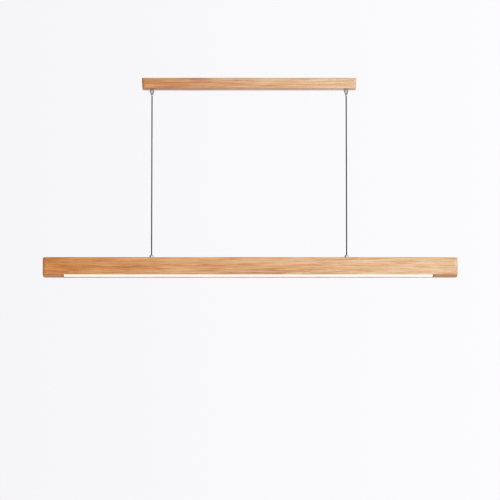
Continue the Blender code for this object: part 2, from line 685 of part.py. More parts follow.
def make_beam(hanger):
    rings = []
    for z_side, z in ((-1, BEAM_BOTTOM_Z), (1, BEAM_TOP_Z)):
        angles = [90 * k / 4 for k in range(5)]
        if z_side == 1:
            angles.reverse()
        for degrees in angles:
            angle = math.radians(degrees)
            inset = BEAM_ARRIS * (1 - math.sin(angle))
            height = z - z_side * BEAM_ARRIS * (1 - math.cos(angle))
            length, depth = BEAM_LENGTH - 2 * inset, BEAM_DEPTH - 2 * inset
            rings.append(rounded_outline(length, depth, BEAM_CORNER - inset, height))
    beam = finish_mesh("beam", loft(rings), "oak", (BEAM_SHIFT, 0, 0), hanger)
    recess = box(LENS_LENGTH + 2 * END_CAP, BEAM_DEPTH - 2 * RIM, 2 * RECESS_DEPTH)
    cut(beam, [(recess, (LENS_X, 0, BEAM_BOTTOM_Z), NO_TURN)])
    holes = []
    for _, side in SIDES:
        bore = ANCHOR_RADIUS + THREAD_CLEARANCE
        well = stepped_rod(POCKET_RADIUS, bore, -5 * MM, POCKET_HEIGHT, BEAM_HEIGHT, 28)
        holes.append((well, (side * CABLE_X, 0, RECESS_Z), NO_TURN))
    for x in channel_screw_places():
        pilot = rod(SCREW_RADIUS + THREAD_CLEARANCE, -5 * MM, SCREW_DEPTH + GAP)
        holes.append((pilot, (x, 0, RECESS_Z), NO_TURN))
    cut(beam, holes)
    return beam


def make_ferrule(name, side, hanger):
    """The chrome ferrule on the beam, its threaded stem, and the washer and nut under the wood."""
    place = (side * CABLE_X, 0, STOP_Z)
    low = -STOP_RISE + GAP
    top = low + FERRULE_HEIGHT
    seat = 0.83 * STOP_RADIUS
    stem_low = RECESS_Z - STOP_Z + 0.2 * MM
    profile = [(seat, 0.67 * STOP_RADIUS), (ANCHOR_BORE, 0.23 * STOP_RADIUS), (ANCHOR_BORE, stem_low)]
    profile += [(ANCHOR_RADIUS, stem_low), (ANCHOR_RADIUS, low), (FERRULE_RADIUS, low)]
    profile += [(FERRULE_RADIUS, top - 2.2 * MM), (FERRULE_RADIUS - 0.6 * MM, top - 1 * MM)]
    profile += [(FERRULE_RADIUS - 2 * MM, top), (ANCHOR_BORE, top)]
    finish_mesh(f"{name}_ferrule", turned(profile, 24), "chrome", place, hanger)
    roof = RECESS_Z + POCKET_HEIGHT - STOP_Z
    hole = ANCHOR_RADIUS + THREAD_CLEARANCE
    washer = ring(hole, hole + 5 * MM, roof - GAP - 1.2 * MM, roof - GAP, 24)
    finish_mesh(f"{name}_anchor_washer", washer, "zinc_steel", place, hanger)
    nut_top = roof - 1.2 * MM - 2 * GAP
    nut = hex_nut(2 * ANCHOR_RADIUS + 4.4 * MM, hole, nut_top - 4.2 * MM, nut_top)
    finish_mesh(f"{name}_anchor_nut", nut, "zinc_steel", place, hanger)
    core_low = RECESS_Z - GAP - CHANNEL_WALL - STOP_Z
    core = rod(CORE_RADIUS, core_low, -STOP_RADIUS - GAP, 10)
    finish_mesh(f"{name}_core_lead", core, "white_lead", place, hanger)


def channel_screw_places():
    first = LENS_LENGTH / 2 - CHANNEL_SCREW_INSET
    spacing = 2 * first / (CHANNEL_SCREWS - 1)
    return [LENS_X - first + spacing * k for k in range(CHANNEL_SCREWS)]


def make_channel(hanger):
    """The aluminium channel that fills the recess, open downwards."""
    half, wall = LENS_WIDTH / 2, CHANNEL_WALL
    top = RECESS_Z - GAP
    low = BEAM_BOTTOM_Z + LENS_RECESS + LENS_THICKNESS + GAP
    outline = [(-half, low), (-half, top), (half, top), (half, low), (half - wall, low)]
    outline += [(half - wall, top - wall), (-half + wall, top - wall), (-half + wall, low)]
    bm = extruded(list(reversed(outline)), LENS_LENGTH - 2 * GAP)
    channel = finish_mesh("led_channel", bm, "aluminium", (LENS_X, 0, 0), hanger)
    holes = [(side * CABLE_X, CORE_RADIUS + 1.2 * MM) for _, side in SIDES]
    holes += [(x, SCREW_RADIUS + THREAD_CLEARANCE) for x in channel_screw_places()]
    cut(channel, [(rod(r, -4 * MM, 4 * MM), (x, 0, top), NO_TURN) for x, r in holes])


def make_diffuser(hanger):
    """The opal strip that closes the channel, with a snap-in leg along each side."""
    half = LENS_WIDTH / 2
    low = BEAM_BOTTOM_Z + LENS_RECESS
    top = low + LENS_THICKNESS
    leg_out = half - CHANNEL_WALL - GAP
    leg_in = leg_out - LENS_LEG_WALL
    outline = [(-half, low), (half, low), (half, top), (leg_out, top), (leg_out, top + LENS_LEG)]
    outline += [(leg_in, top + LENS_LEG), (leg_in, top), (-leg_in, top)]
    outline += [(-leg_in, top + LENS_LEG), (-leg_out, top + LENS_LEG), (-leg_out, top), (-half, top)]
    bm = extruded(outline, LENS_LENGTH - 2 * GAP)
    finish_mesh("diffuser", bm, "opal", (LENS_X, 0, 0), hanger)


def make_end_caps(hanger):
    height = RECESS_DEPTH - 2 * GAP
    for name, side in SIDES:
        x = LENS_X + side * (LENS_LENGTH / 2 + END_CAP / 2)
        bm = box(END_CAP - 2 * GAP, LENS_WIDTH, height, 0.4 * MM)
        z = BEAM_BOTTOM_Z + RECESS_DEPTH / 2
        finish_mesh(f"{name}_end_cap", bm, "oak_edge", (x, 0, z), hanger)


def make_led_strip(name, side, hanger):
    """A strip board whose light chips stand on its lower face, as one body."""
    length = LENS_LENGTH - 2 * STRIP_END
    bm = box(length, STRIP_WIDTH, STRIP_THICKNESS)
    pitch = length / CHIP_COUNT
    middles = [-length / 2 + pitch * (k + 0.5) for k in range(CHIP_COUNT)]
    half = CHIP_SIDE / 2
    planes = [((x + s * half, 0, 0), (1, 0, 0)) for x in middles for s in (-1, 1)]
    planes += [((0, s * half, 0), (0, 1, 0)) for s in (-1, 1)]
    for point, normal in planes:
        everything = bm.verts[:] + bm.edges[:] + bm.faces[:]
        bmesh.ops.bisect_plane(bm, geom=everything, plane_co=point, plane_no=normal)
    chips = []
    for face in bm.faces:
        x, y, _ = face.calc_center_median()
        on_chip = any(abs(x - m) < 0.1 * MM for m in middles)
        if face.normal.z < -0.5 and abs(y) < half and on_chip:
            chips.append(face)
    raised = bmesh.ops.extrude_discrete_faces(bm, faces=chips)["faces"]
    for face in raised:
        bmesh.ops.translate(bm, vec=(0, 0, -CHIP_HEIGHT), verts=face.verts)
    z = RECESS_Z - CHANNEL_WALL - 2 * GAP - STRIP_THICKNESS / 2
    place = (LENS_X, side * STRIP_OFFSET, z)
    finish_mesh(f"{name}_led_strip", bm, "white_board", place, hanger)


def make_light_fittings(hanger):
    roof = RECESS_Z - CHANNEL_WALL - 2 * GAP
    for name, side in SIDES:
        bm = box(*JUNCTION, 0.6 * MM)
        place = (side * CABLE_X, 0, roof - JUNCTION[2] / 2)
        finish_mesh(f"{name}_junction", bm, "white_plastic", place, hanger)
    for k, x in enumerate(channel_screw_places(), 1):
        profile = [(0, -SCREW_HEAD), (SCREW_HEAD_RADIUS - 0.8 * MM, -SCREW_HEAD)]
        profile += [(SCREW_HEAD_RADIUS, -0.9 * MM), (SCREW_HEAD_RADIUS, 0), (SCREW_RADIUS, 0)]
        profile += [(SCREW_RADIUS, SCREW_DEPTH - 2 * MM), (0, SCREW_DEPTH)]
        finish_mesh(f"channel_screw_{k}", turned(profile, 14), "zinc_steel", (x, 0, roof), hanger)


def main():
    clear_scene()
    make_canopy_shell()
    make_bracket()
    make_end_screws()
    make_driver()
    make_terminal_block()
    make_canopy_leads()
    stops = {}
    for name, side in SIDES:
        make_spare_cable(name, side)
        make_socket(name, side)
        swivel = empty(f"{name}_swivel_pivot", (side * CABLE_X, 0, SWIVEL_Z))
        make_liner(name, side, swivel)
        make_gripper(name, side, swivel)
        stops[name] = make_cable(name, side, swivel)
    hanger = stops["left"]
    make_beam(hanger)
    for name, side in SIDES:
        make_ferrule(name, side, hanger)
    make_channel(hanger)
    make_diffuser(hanger)
    make_end_caps(hanger)
    make_led_strip("front", -1, hanger)
    make_led_strip("back", 1, hanger)
    make_light_fittings(hanger)


main()
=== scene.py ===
import json
import math

import bmesh
import bpy
from mathutils import Matrix, Vector


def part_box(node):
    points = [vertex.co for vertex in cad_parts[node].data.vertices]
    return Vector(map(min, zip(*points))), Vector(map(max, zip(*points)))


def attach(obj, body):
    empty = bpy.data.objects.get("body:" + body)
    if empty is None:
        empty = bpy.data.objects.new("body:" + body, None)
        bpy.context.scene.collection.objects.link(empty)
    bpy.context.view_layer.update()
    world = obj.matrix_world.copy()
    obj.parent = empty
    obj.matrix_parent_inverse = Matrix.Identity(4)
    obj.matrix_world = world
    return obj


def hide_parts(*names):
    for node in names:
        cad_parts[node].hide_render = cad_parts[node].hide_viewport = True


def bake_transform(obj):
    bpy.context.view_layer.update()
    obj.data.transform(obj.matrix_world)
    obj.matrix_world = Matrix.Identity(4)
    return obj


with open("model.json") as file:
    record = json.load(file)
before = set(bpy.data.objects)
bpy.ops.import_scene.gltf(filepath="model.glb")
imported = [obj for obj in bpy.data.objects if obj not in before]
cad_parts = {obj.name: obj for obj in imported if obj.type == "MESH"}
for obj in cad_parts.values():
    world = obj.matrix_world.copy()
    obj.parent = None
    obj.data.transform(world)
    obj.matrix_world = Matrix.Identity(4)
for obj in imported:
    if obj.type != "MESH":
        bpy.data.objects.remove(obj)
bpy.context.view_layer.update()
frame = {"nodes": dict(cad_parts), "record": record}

mm = 0.001


def hexToLinear(code):
    channels = [int(code[i : i + 2], 16) / 255 for i in (0, 2, 4)]
    linear = [c / 12.92 if c <= 0.04045 else ((c + 0.055) / 1.055) ** 2.4 for c in channels]
    return (*linear, 1)


def addNode(tree, kind, links=None, **settings):
    # links maps a socket to another node's output or to a value
    node = tree.nodes.new(kind)
    for key, value in settings.items():
        setattr(node, key, value)
    for key, value in (links or {}).items():
        if isinstance(value, bpy.types.NodeSocket):
            tree.links.new(value, node.inputs[key])
        else:
            node.inputs[key].default_value = value
    return node


def newMaterial(name, **values):
    # values that are the same all over go straight on the shader
    made = bpy.data.materials.new(name)
    made.use_nodes = True
    shader = made.node_tree.nodes["Principled BSDF"]
    for key, value in values.items():
        shader.inputs[key.replace("_", " ")].default_value = value
    return made, made.node_tree, shader


def setRamp(ramp, stops):
    # stops are (position, hex colour) pairs
    elements = ramp.color_ramp.elements
    while len(elements) < len(stops):
        elements.new(0.5)
    for element, (position, code) in zip(elements, stops):
        element.position = position
        element.color = hexToLinear(code)


def grainPattern(tree, place, size, shift, detail=1.0, out="Fac"):
    # drawn-out cells, size being their mm along and across the grain
    along, across = size
    scale = (1 / (along * mm), 1 / (across * mm), 1 / (across * mm))
    links = {"Vector": place, "Scale": scale, "Location": (shift, shift, shift)}
    moved = addNode(tree, "ShaderNodeMapping", links)
    links = {"Vector": moved.outputs[0], "Scale": 1.0, "Detail": detail, "Roughness": 0.6}
    return addNode(tree, "ShaderNodeTexNoise", links).outputs[out]


woodLook = {
    "wander": ((240, 60), 8),  # mm of a slow bend in the grain, and mm that it strays
    "wave": ((34, 9), 0.9),  # the same of its short waves
    "streak": (95, 2.5),  # mm along and across one streak of late wood
    "band": (420, 15),  # mm of the broad light and dark bands
    "bandShare": 0.24,
    "toneRange": (0.36, 0.65),  # the part of the pattern that spans light to dark
    "pore": (16, 0.9),  # mm of an open pore, drawn twice as wide as it is
    "poreRange": (0.62, 0.74, 0.4),  # where a pore starts and is full, and how strong it gets
    "poreColour": "8a5223",
    # warm is the wood's own colour; the pale ramp is that colour with painted light and sheen on it
    "warm": [(0.0, "d59a55"), (0.42, "c8833f"), (0.72, "b56b2b"), (1.0, "9c521c")],
    "paintedLitPale": [(0.0, "eed0aa"), (0.42, "e1bb92"), (0.72, "d4a577"), (1.0, "c48d5a")],
    "litShare": (-0.93, 0.77),  # where the painted light starts and ends paling the warm colour, as shares of the reach
    "underside": (-0.95, -0.5),  # a normal's z where the surface counts as underside and as side, for the painted shade on undersides
    "roughness": (0.44, 0.58),
    "depth": 0.15 * mm,
}


def makeWood(name, shift, reach, under, wax):
    # sanded oak, oiled and lightly waxed: wavy streaks of late wood, short open pores, a sheen at low angles
    made, tree, shader = newMaterial(name, Specular_IOR_Level=0.2, Coat_Weight=wax, Coat_Roughness=0.2)
    look = woodLook
    place = addNode(tree, "ShaderNodeTexCoord").outputs["Object"]
    grain = place
    for size, stray in (look["wander"], look["wave"]):
        bend = grainPattern(tree, grain, size, shift, out="Color")
        links = {0: bend, 1: (0, stray * mm, stray * mm), 2: grain}
        grain = addNode(tree, "ShaderNodeVectorMath", links, operation="MULTIPLY_ADD").outputs[0]

    streak = grainPattern(tree, grain, look["streak"], shift, 3.0)
    band = grainPattern(tree, grain, look["band"], shift, 2.0)
    links = {0: look["bandShare"], 2: streak, 3: band}
    both = addNode(tree, "ShaderNodeMix", links, data_type="FLOAT").outputs[0]
    low, high = look["toneRange"]
    tone = addNode(tree, "ShaderNodeMapRange", {"Value": both, "From Min": low, "From Max": high}).outputs[0]
    warm = addNode(tree, "ShaderNodeValToRGB", {0: tone})
    setRamp(warm, look["warm"])
    paintedLitPale = addNode(tree, "ShaderNodeValToRGB", {0: tone})
    setRamp(paintedLitPale, look["paintedLitPale"])

    # painted light and sheen: the warm colour pales towards the right, where the key light stands, out to
    # reach m from the middle, and undersides, as painted shade, keep only the under share of that painted
    # paling
    x = addNode(tree, "ShaderNodeSeparateXYZ", {0: place}).outputs[0]
    start, end = (share * reach for share in look["litShare"])
    along = addNode(tree, "ShaderNodeMapRange", {"Value": x, "From Min": start, "From Max": end}).outputs[0]
    facing = addNode(tree, "ShaderNodeNewGeometry").outputs["Normal"]
    up = addNode(tree, "ShaderNodeSeparateXYZ", {0: facing}).outputs[2]
    low, high = look["underside"]
    links = {"Value": up, "From Min": low, "From Max": high, "To Min": under}
    share = addNode(tree, "ShaderNodeMapRange", links).outputs[0]
    litShare = addNode(tree, "ShaderNodeMath", {0: along, 1: share}, operation="MULTIPLY").outputs[0]
    links = {0: litShare, 6: warm.outputs[0], 7: paintedLitPale.outputs[0]}
    board = addNode(tree, "ShaderNodeMix", links, data_type="RGBA")

    # open pores, short dark dashes along the grain
    field = grainPattern(tree, grain, look["pore"], shift)
    low, high, most = look["poreRange"]
    links = {"Value": field, "From Min": low, "From Max": high, "To Max": most}
    pore = addNode(tree, "ShaderNodeMapRange", links).outputs[0]
    links = {0: pore, 6: board.outputs[2], 7: hexToLinear(look["poreColour"])}
    pored = addNode(tree, "ShaderNodeMix", links, data_type="RGBA")
    tree.links.new(pored.outputs[2], shader.inputs["Base Color"])
    low, high = look["roughness"]
    rough = addNode(tree, "ShaderNodeMapRange", {"Value": tone, "To Min": low, "To Max": high})
    tree.links.new(rough.outputs[0], shader.inputs["Roughness"])
    height = addNode(tree, "ShaderNodeMath", {0: tone, 1: pore}, operation="ADD").outputs[0]
    links = {"Height": height, "Distance": look["depth"], "Strength": 0.5}
    bump = addNode(tree, "ShaderNodeBump", links, invert=True)
    tree.links.new(bump.outputs[0], shader.inputs["Normal"])
    return made


def addSpeckle(tree, shader, size, spread, base, depth=0.0, stretch=(1, 1, 1)):
    # a fine noise, its grain in mm, on the roughness, with a bump if it has a depth in mm
    place = addNode(tree, "ShaderNodeTexCoord").outputs["Object"]
    scale = tuple(s / (size * mm) for s in stretch)
    moved = addNode(tree, "ShaderNodeMapping", {"Vector": place, "Scale": scale}).outputs[0]
    noise = addNode(tree, "ShaderNodeTexNoise", {"Vector": moved, "Scale": 1.0, "Detail": 3.0}).outputs["Fac"]
    low, high = base - spread, base + spread
    links = {"Value": noise, "From Min": 0.3, "From Max": 0.7, "To Min": low, "To Max": high}
    rough = addNode(tree, "ShaderNodeMapRange", links)
    tree.links.new(rough.outputs[0], shader.inputs["Roughness"])
    if depth:
        bump = addNode(tree, "ShaderNodeBump", {"Height": noise, "Distance": depth * mm, "Strength": 0.5})
        tree.links.new(bump.outputs[0], shader.inputs["Normal"])
    return noise


def makeFinish(name, dark, light, roughness, size, depth=0.0, spread=0.06, stretch=(1, 1, 1), **values):
    # a finish that wanders between two colours, with grain of the given size in mm
    made, tree, shader = newMaterial(name, **values)
    noise = addSpeckle(tree, shader, size, spread, roughness, depth, stretch)
    links = {0: noise, 6: hexToLinear(dark), 7: hexToLinear(light)}
    mix = addNode(tree, "ShaderNodeMix", links, data_type="RGBA")
    tree.links.new(mix.outputs[2], shader.inputs["Base Color"])
    return made, tree, shader


glowLook = {
    "strength": 0.85,
    "middle": "fffdf8",
    "edge": "7d5c38",
    "stripEdge": 15 * mm,  # from the sheet's middle line to where the glow starts to fall
    "sheetEdge": 25 * mm,  # and to where it has fallen
}


def makeOpal():
    # opal acrylic, extruded, with the light strips glowing evenly through it
    made, tree, shader = makeFinish("acrylicOpalExtruded", "cfcbc2", "dcd9d1", 0.32, 1.2, 0.02, 0.04)
    shader.inputs["Emission Strength"].default_value = glowLook["strength"]
    place = addNode(tree, "ShaderNodeTexCoord").outputs["Object"]
    across = addNode(tree, "ShaderNodeSeparateXYZ", {0: place}).outputs[1]
    offset = addNode(tree, "ShaderNodeMath", {0: across}, operation="ABSOLUTE").outputs[0]
    links = {"Value": offset, "From Min": glowLook["stripEdge"], "From Max": glowLook["sheetEdge"]}
    fall = addNode(tree, "ShaderNodeMapRange", links).outputs[0]
    links = {0: fall, 6: hexToLinear(glowLook["middle"]), 7: hexToLinear(glowLook["edge"])}
    glow = addNode(tree, "ShaderNodeMix", links, data_type="RGBA")
    tree.links.new(glow.outputs[2], shader.inputs["Emission Color"])
    return made


beamOak = makeWood("oakOiledBeam", 0.0, 0.6, 0.1, 0.2)
canopyOak = makeWood("oakOiledCanopy", 3.7, 0.355, 1.0, 0.6)
opal = makeOpal()
# the recess's end slips, textured as end grain, coloured a shade darker than the beam
capOak = makeFinish("oakCutEndGrain", "8d5526", "b97f45", 0.5, 1.4, 0.06, stretch=(1, 1, 3))[0]
# polished plate over brass: mirror bright, with the faintest cloud from wiping
chrome = makeFinish("chromePolishedPlate", "a5a3a6", "bcb9bb", 0.09, 5, spread=0.03, Metallic=1)[0]
# bright zinc with a dull spangle
zincSteel = makeFinish("steelZincPlated", "a9adb3", "d3d6da", 0.34, 3.5, 0.01, 0.1, Metallic=1)[0]
# bright drawn wire
springSteel = makeFinish("springSteelDrawn", "7c7e82", "a6a8ab", 0.28, 0.4, Metallic=1)[0]
# fine lathe rings that catch the light
brassTurned = makeFinish("brassTurned", "b08a45", "d8b46c", 0.28, 0.5, 0.01, Metallic=1)[0]
# die lines along the channel under a satin anodised skin
drawn = (0.04, 1, 1)
aluminium = makeFinish("aluminiumAnodised", "bfc2c6", "dcdee1", 0.38, 0.5, 0.01, stretch=drawn, Metallic=1)[0]
# dull near-black sheath with a fine drag from the die
matt = {"Specular_IOR_Level": 0.1}
sheath = makeFinish("pvcCableSheathExtruded", "111110", "201f1e", 0.75, 0.8, 0.03, **matt)[0]
# smooth lead insulation with a slight shine
whiteLead = makeFinish("pvcLeadWhite", "d8d8d6", "ebebe9", 0.4, 1.0, 0.01)[0]
brownLead = makeFinish("pvcLeadBrown", "44261a", "5b3524", 0.4, 1.0, 0.01)[0]
blueLead = makeFinish("pvcLeadBlue", "1f4a8c", "2b5ca6", 0.4, 1.0, 0.01)[0]
# satin white solder mask
whiteMask = makeFinish("glassFibreBoardWhiteMask", "dfe0da", "f0f1ec", 0.35, 0.6, 0.01)[0]
# moulded plastics with a light spark-eroded texture
whiteAbs = makeFinish("absMouldedWhite", "d9d9d5", "e9e9e6", 0.42, 0.7, 0.03)[0]
greyNylon = makeFinish("nylonMouldedGrey", "63666a", "7c7f83", 0.45, 0.7, 0.02)[0]
blackNylon = makeFinish("nylonMouldedBlack", "17181a", "26272a", 0.42, 0.7, 0.02)[0]
print("materials made:", len(bpy.data.materials))


def finishPiece(name, bm, material, body, *nodes, slot, sharp=30):
    bmesh.ops.recalc_face_normals(bm, faces=bm.faces)
    mesh = bpy.data.meshes.new(name)
    bm.to_mesh(mesh)
    bm.free()
    mesh.shade_smooth()
    mesh.set_sharp_from_angle(angle=math.radians(sharp))
    mesh.materials.append(material)
    piece = bpy.data.objects.new(name, mesh)
    bpy.context.scene.collection.objects.link(piece)
    if body:
        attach(piece, body)
    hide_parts(*nodes)
    return piece


def roundedRing(low, high, radius, z, steps):
    # a rectangle with round corners between two (x, y) corners, at one height
    points = []
    corners = ((high[0], high[1], 0), (low[0], high[1], 90), (low[0], low[1], 180), (high[0], low[1], 270))
    for cornerX, cornerY, start in corners:
        centreX = cornerX - math.copysign(radius, math.cos(math.radians(start + 45)))
        centreY = cornerY - math.copysign(radius, math.sin(math.radians(start + 45)))
        for k in range(steps + 1):
            angle = math.radians(start + 90 * k / steps)
            points.append((centreX + radius * math.cos(angle), centreY + radius * math.sin(angle), z))
    return points


def loftRings(rings):
    bm = bmesh.new()
    made = [[bm.verts.new(p) for p in ring] for ring in rings]
    for low, high in zip(made, made[1:]):
        for i in range(len(low)):
            j = (i + 1) % len(low)
            bm.faces.new((low[i], low[j], high[j], high[i]))
    bm.faces.new(list(reversed(made[0])))
    bm.faces.new(made[-1])
    return bm


def roundOver(size, start, end, steps):
    # (inset, drop) pairs of a quarter round, from one angle to the other in degrees
    pairs = []
    for k in range(steps + 1):
        angle = math.radians(start + (end - start) * k / steps)
        pairs.append((size * (1 - math.sin(angle)), size * (1 - math.cos(angle))))
    return pairs


def turnProfile(profile, centre, segments=72):
    # a closed (radius, z) outline turned round an upright axis
    bm = bmesh.new()
    rings = []
    for radius, z in profile:
        ring = []
        for k in range(segments):
            angle = 2 * math.pi * k / segments
            x, y = centre[0] + radius * math.cos(angle), centre[1] + radius * math.sin(angle)
            ring.append(bm.verts.new((x, y, centre[2] + z)))
        rings.append(ring)
    for low, high in zip(rings, rings[1:] + rings[:1]):
        for k in range(segments):
            n = (k + 1) % segments
            bm.faces.new((low[k], low[n], high[n], high[k]))
    return bm


def turnSolid(profile, segments):
    # an outline that starts and ends on the axis, turned into a closed solid about the origin
    bm = turnProfile([(max(radius, 0.0001 * mm), z) for radius, z in profile], (0, 0, 0), segments)
    bmesh.ops.remove_doubles(bm, verts=bm.verts, dist=0.001 * mm)
    bmesh.ops.recalc_face_normals(bm, faces=bm.faces)
    return bm


def softenProfile(profile, reach, steps=3):
    # rounds each corner of a closed outline by cutting it back and bending it
    result = []
    count = len(profile)
    for i, point in enumerate(profile):
        before, after = Vector(profile[i - 1]), Vector(profile[(i + 1) % count])
        corner = Vector(point)
        toBefore, toAfter = before - corner, after - corner
        cut = min(reach, toBefore.length * 0.4, toAfter.length * 0.4)
        bend = toBefore.angle(-toAfter) if toBefore.length and toAfter.length else 0
        if bend < math.radians(20):
            result.append(tuple(corner))
            continue
        start = corner + toBefore.normalized() * cut
        end = corner + toAfter.normalized() * cut
        for k in range(steps + 1):
            t = k / steps
            result.append(tuple((1 - t) ** 2 * start + 2 * t * (1 - t) * corner + t * t * end))
    return result


def cutOut(bm, tools):
    # takes closed pieces out of a mesh and gives back the result
    meshes = []
    for k, part in enumerate([bm, *tools]):
        mesh = bpy.data.meshes.new(f"cutStock{k}")
        part.to_mesh(mesh)
        part.free()
        meshes.append(mesh)
    stock = bpy.data.objects.new("cutStock", meshes[0])
    bpy.context.scene.collection.objects.link(stock)
    helpers = []
    for mesh in meshes[1:]:
        helper = bpy.data.objects.new("cutTool", mesh)
        bpy.context.scene.collection.objects.link(helper)
        helpers.append(helper)
        modifier = stock.modifiers.new("cut", "BOOLEAN")
        modifier.solver = "EXACT"
        modifier.object = helper
    result = bmesh.new()
    result.from_object(stock, bpy.context.evaluated_depsgraph_get())
    for obj in (stock, *helpers):
        bpy.data.objects.remove(obj, do_unlink=True)
    for mesh in meshes:
        bpy.data.meshes.remove(mesh)
    return result


canopyLook = {
    "corner": 9 * mm,
    "arris": 1.6 * mm,
    "topArris": 0.8 * mm,
    "cornerSteps": 12,
    "innerCorner": 4 * mm,
    "floor": 5 * mm,
    "side": 5 * mm,
    "end": 8 * mm,
    "draft": 2 * mm,
    "screwShank": 1.5 * mm,
    "screwHead": 2 * mm,
    "screwTip": (0.4 * mm, 0.6 * mm),  # the shank's point: in from its side, and its length
    "screwCrown": ((0, -0.8), (0.3, -0.3), (1, 0)),  # mm in from the head's radius, and from its face
    "screwSocket": (1.25 * mm, 1.2 * mm),
    "screwRoom": 0.4 * mm,  # all round the head
    "shankRoom": 0.3 * mm,
    "boreReach": (20 * mm, 4 * mm),  # how far the screw's hole is cut in and out from the face
}


def placeScrew(side):
    # the screw's own z runs out of the canopy's end, from the middle of its head
    low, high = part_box(f"{side}_canopy_screw")
    outward, face = (-1, low.x) if side == "left" else (1, high.x)
    turn = Matrix.Rotation(math.radians(90) * outward, 4, "Y")
    return Matrix.Translation((face, 0, (low.z + high.z) / 2)) @ turn, (high.z - low.z) / 2


def makeCanopyScrew(side):
    # a round head with a hexagon socket
    low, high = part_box(f"{side}_canopy_screw")
    place, head = placeScrew(side)
    look = canopyLook
    shank, under = look["screwShank"], -look["screwHead"]
    end = low.x - high.x
    taper, tip = look["screwTip"]
    wide, deep = look["screwSocket"]
    proud = 1 * mm
    profile = [(0, end), (shank - taper, end), (shank, end + tip), (shank, under), (head, under)]
    profile += [(head - inset * mm, up * mm) for inset, up in look["screwCrown"]]
    profile.append((0, 0))
    socket = [(0, -deep), (wide, -deep), (wide, proud), (0, proud)]
    bm = cutOut(turnSolid(profile, 48), [turnSolid(socket, 6)])
    bm.transform(place)
    finishPiece(f"{side}CanopyScrew", bm, chrome, "canopy", f"{side}_canopy_screw", slot="chrome")


def makeCanopy():
    low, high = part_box("canopy_shell")
    look = canopyLook
    steps = look["cornerSteps"]
    height = high.z - low.z

    def halfLength(z):
        return high.x - look["draft"] * (high.z - z) / height

    # from the floor up the inside, over the top edge and down the outside
    inner = halfLength(low.z) - look["end"]
    depth = high.y - look["side"]
    bevel = look["topArris"] / 2
    rings = []
    for grown, z in ((0, low.z + look["floor"]), (0, high.z - bevel), (bevel, high.z)):
        x, y = inner + grown, depth + grown
        rings.append(roundedRing((-x, -y), (x, y), look["innerCorner"], z, steps))
    for inset, drop in roundOver(look["topArris"], 0, 90, 4):
        z = high.z - drop
        x, y = halfLength(z) - inset, high.y - inset
        rings.append(roundedRing((-x, -y), (x, y), look["corner"] - inset, z, steps))
    for inset, drop in roundOver(look["arris"], 90, 0, 6):
        z = low.z + drop
        x, y = halfLength(z) - inset, high.y - inset
        rings.append(roundedRing((-x, -y), (x, y), look["corner"] - inset, z, steps))
    bm = loftRings(rings)
    tools = []
    for side in ("left", "right"):
        place, head = placeScrew(side)
        wide = head + look["screwRoom"]
        deep = look["screwHead"] + look["screwRoom"]
        shank = look["screwShank"] + look["shankRoom"]
        inward, outward = look["boreReach"]
        profile = [(0, -inward), (shank, -inward), (shank, -deep), (wide, -deep)]
        profile += [(wide, outward), (0, outward)]
        tool = turnSolid(profile, 40)
        tool.transform(place)
        tools.append(tool)
    finishPiece("canopyBox", cutOut(bm, tools), canopyOak, "canopy", "canopy_shell", slot="oak")


makeCanopy()
for side in ("left", "right"):
    makeCanopyScrew(side)
print("canopy and its screws made")

beamLook = {
    "corner": 10 * mm,
    "arris": 2.6 * mm,
    "rimArris": 0.5 * mm,
    "rimCorner": 0.6 * mm,
    "gap": 0.3 * mm,  # round the channel and past the end caps
    "cornerSteps": 14,
}


def makeBeam():
    low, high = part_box("beam")
    channelLow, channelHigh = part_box("led_channel")
    leftLow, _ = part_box("left_end_cap")
    _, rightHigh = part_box("right_end_cap")
    look = beamLook
    gap = look["gap"]
    steps = look["cornerSteps"]
    recessLow = (leftLow.x - gap, channelLow.y - gap)
    recessHigh = (rightHigh.x + gap, channelHigh.y + gap)
    soft = look["rimArris"]
    # from the recess's roof down over its rim, out along the underside and up to the top
    rings = [roundedRing(recessLow, recessHigh, look["rimCorner"], channelHigh.z + gap, steps)]
    for inset, _ in reversed(roundOver(soft, 0, 90, 3)):
        grown = soft - inset
        rim = (recessLow[0] - grown, recessLow[1] - grown), (recessHigh[0] + grown, recessHigh[1] + grown)
        rings.append(roundedRing(*rim, look["rimCorner"] + grown, low.z + soft - grown, steps))
    outline = [(inset, low.z + drop) for inset, drop in roundOver(look["arris"], 0, 90, 7)]
    outline += [(inset, high.z - drop) for inset, drop in roundOver(look["arris"], 90, 0, 7)]
    for inset, z in outline:
        corners = (low.x + inset, low.y + inset), (high.x - inset, high.y - inset)
        rings.append(roundedRing(*corners, look["corner"] - inset, z, steps))
    finishPiece("beamBody", loftRings(rings), beamOak, "beam", "beam", slot="oak")


makeBeam()
print("beam made")

